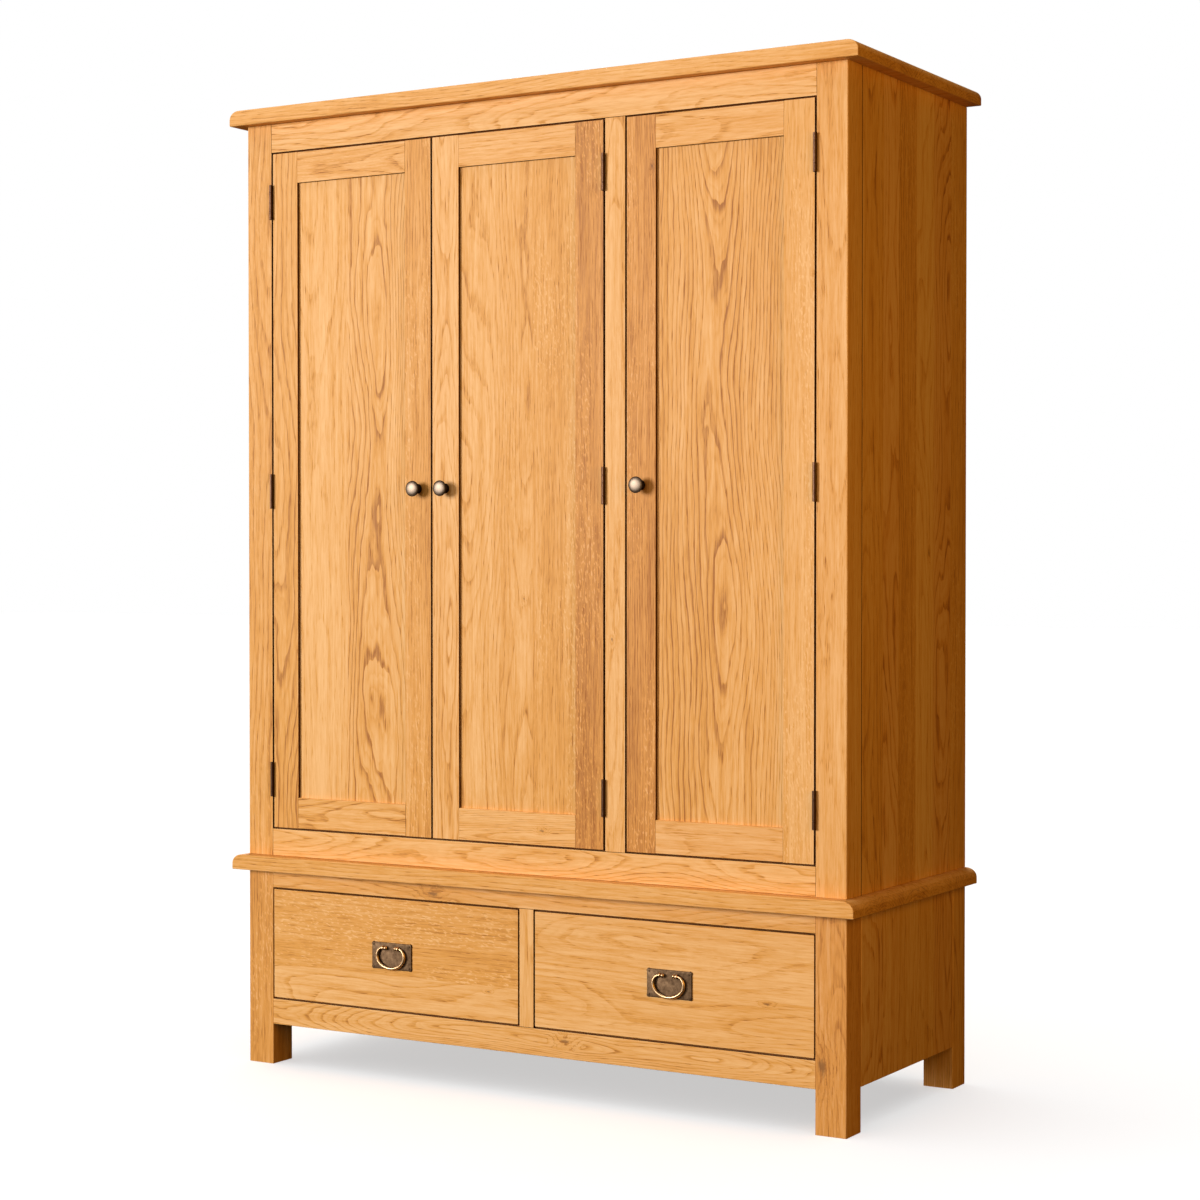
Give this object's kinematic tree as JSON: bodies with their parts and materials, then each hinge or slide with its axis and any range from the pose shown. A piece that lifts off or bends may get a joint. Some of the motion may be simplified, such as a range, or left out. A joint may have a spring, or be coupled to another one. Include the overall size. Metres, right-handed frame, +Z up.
{
  "type": "wardrobe with doors",
  "caption": "Oak wardrobe in two halves: hinged frame-and-panel doors above a plinth with drawers, moulded slabs, brass knobs and drop-ring pulls.",
  "frame": {"origin": "on the floor, under the middle of the bounding box", "axes": "+Z up, +X to the right as seen from in front, the doors and drawers face -Y"},
  "size_m": [1.376, 0.558, 1.9],
  "materials": {
    "oak": "satin honey lacquer",
    "oak_panel": "satin honey lacquer",
    "oak_inside": "thin matt lacquer",
    "aged_brass": "antiqued, worn bright on the high spots",
    "hinge_brass": "antiqued",
    "rail_steel": "satin"
  },
  "bodies": {
    "carcass": {"leg_front_left": "oak", "leg_rear_left": "oak", "base_side_left": "oak", "leg_front_right": "oak", "leg_rear_right": "oak", "base_side_right": "oak", "base_bottom_rail": "oak", "base_top_rail": "oak", "base_back": "oak_inside", "drawer_divider": "oak_inside", "base_slab": "oak", "front_post_left": "oak", "side_panel_left": "oak_panel", "front_post_right": "oak", "side_panel_right": "oak_panel", "bottom_rail": "oak", "top_rail": "oak", "middle_stile": "oak", "top_slab": "oak", "floor_board": "oak_inside", "back_panel": "oak_inside", "partition": "oak_inside", "shelf_1": "oak_inside", "shelf_2": "oak_inside", "hanging_rail": "rail_steel", "hinge_left_bottom_frame_leaf": "hinge_brass", "hinge_left_middle_frame_leaf": "hinge_brass", "hinge_left_top_frame_leaf": "hinge_brass", "hinge_middle_bottom_frame_leaf": "hinge_brass", "hinge_middle_middle_frame_leaf": "hinge_brass", "hinge_middle_top_frame_leaf": "hinge_brass", "hinge_right_bottom_frame_leaf": "hinge_brass", "hinge_right_middle_frame_leaf": "hinge_brass", "hinge_right_top_frame_leaf": "hinge_brass"},
    "door_left": {"door_left_frame": "oak", "door_left_panel": "oak_panel", "door_left_knob": "aged_brass", "hinge_left_bottom_door_leaf": "hinge_brass", "hinge_left_middle_door_leaf": "hinge_brass", "hinge_left_top_door_leaf": "hinge_brass"},
    "door_middle": {"door_middle_frame": "oak", "door_middle_panel": "oak_panel", "door_middle_knob": "aged_brass", "hinge_middle_bottom_door_leaf": "hinge_brass", "hinge_middle_middle_door_leaf": "hinge_brass", "hinge_middle_top_door_leaf": "hinge_brass"},
    "door_right": {"door_right_frame": "oak", "door_right_panel": "oak_panel", "door_right_knob": "aged_brass", "hinge_right_bottom_door_leaf": "hinge_brass", "hinge_right_middle_door_leaf": "hinge_brass", "hinge_right_top_door_leaf": "hinge_brass"},
    "drawer_left": {"drawer_left_front": "oak", "drawer_left_box": "oak_inside", "drawer_left_plate": "aged_brass"},
    "drawer_right": {"drawer_right_front": "oak", "drawer_right_box": "oak_inside", "drawer_right_plate": "aged_brass"},
    "ring_left": {"drawer_left_ring": "aged_brass"},
    "ring_right": {"drawer_right_ring": "aged_brass"}
  },
  "joints": [
    {"name": "door_left_hinge", "type": "hinge", "parent": "carcass", "child": "door_left", "pos_m": [-0.5975, -0.258, 1.142], "axis": [0, 0, -1], "range_deg": [0, 170]},
    {"name": "door_middle_hinge", "type": "hinge", "parent": "carcass", "child": "door_middle", "pos_m": [0.1695, -0.258, 1.142], "axis": [0, 0, 1], "range_deg": [0, 110]},
    {"name": "door_right_hinge", "type": "hinge", "parent": "carcass", "child": "door_right", "pos_m": [0.5975, -0.258, 1.142], "axis": [0, 0, 1], "range_deg": [0, 170]},
    {"name": "drawer_left_slide", "type": "slide", "parent": "carcass", "child": "drawer_left", "axis": [0, -1, 0], "range_m": [0, 0.38]},
    {"name": "drawer_right_slide", "type": "slide", "parent": "carcass", "child": "drawer_right", "axis": [0, -1, 0], "range_m": [0, 0.38]},
    {"name": "ring_left_swing", "type": "hinge", "parent": "drawer_left", "child": "ring_left", "pos_m": [-0.3075, -0.2608, 0.2548], "axis": [-1, 0, 0], "range_deg": [0, 170]},
    {"name": "ring_right_swing", "type": "hinge", "parent": "drawer_right", "child": "ring_right", "pos_m": [0.3075, -0.2608, 0.2548], "axis": [-1, 0, 0], "range_deg": [0, 170]}
  ]
}
